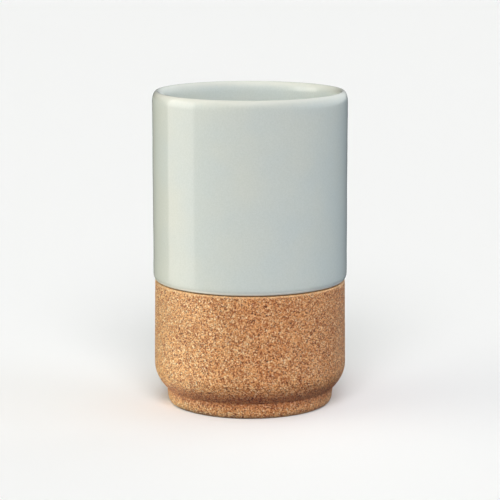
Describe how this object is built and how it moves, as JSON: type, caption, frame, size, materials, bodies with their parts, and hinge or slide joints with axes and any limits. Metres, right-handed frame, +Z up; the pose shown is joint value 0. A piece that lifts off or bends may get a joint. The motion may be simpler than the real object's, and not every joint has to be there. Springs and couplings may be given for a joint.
{
  "type": "cork-based ceramic tumbler",
  "caption": "Handleless glazed ceramic tumbler whose narrower lower half sits in a turned cork base; the cup lifts straight out of the cork.",
  "frame": {"origin": "centre of the cork base's underside, on the surface it stands on", "axes": "+Z up along the axis that both pieces are turned about; X and Y are any two level directions"},
  "size_m": [0.08, 0.08, 0.13],
  "materials": {
    "cork": "matte",
    "celadon_glaze": "gloss"
  },
  "bodies": {
    "base": {"cork_base": "cork"},
    "cup": {"ceramic_cup": "celadon_glaze"}
  },
  "joints": [
    {"name": "cup_lift", "type": "slide", "parent": "base", "child": "cup", "axis": [0, 0, 1], "range_m": [0, 0.06]}
  ]
}
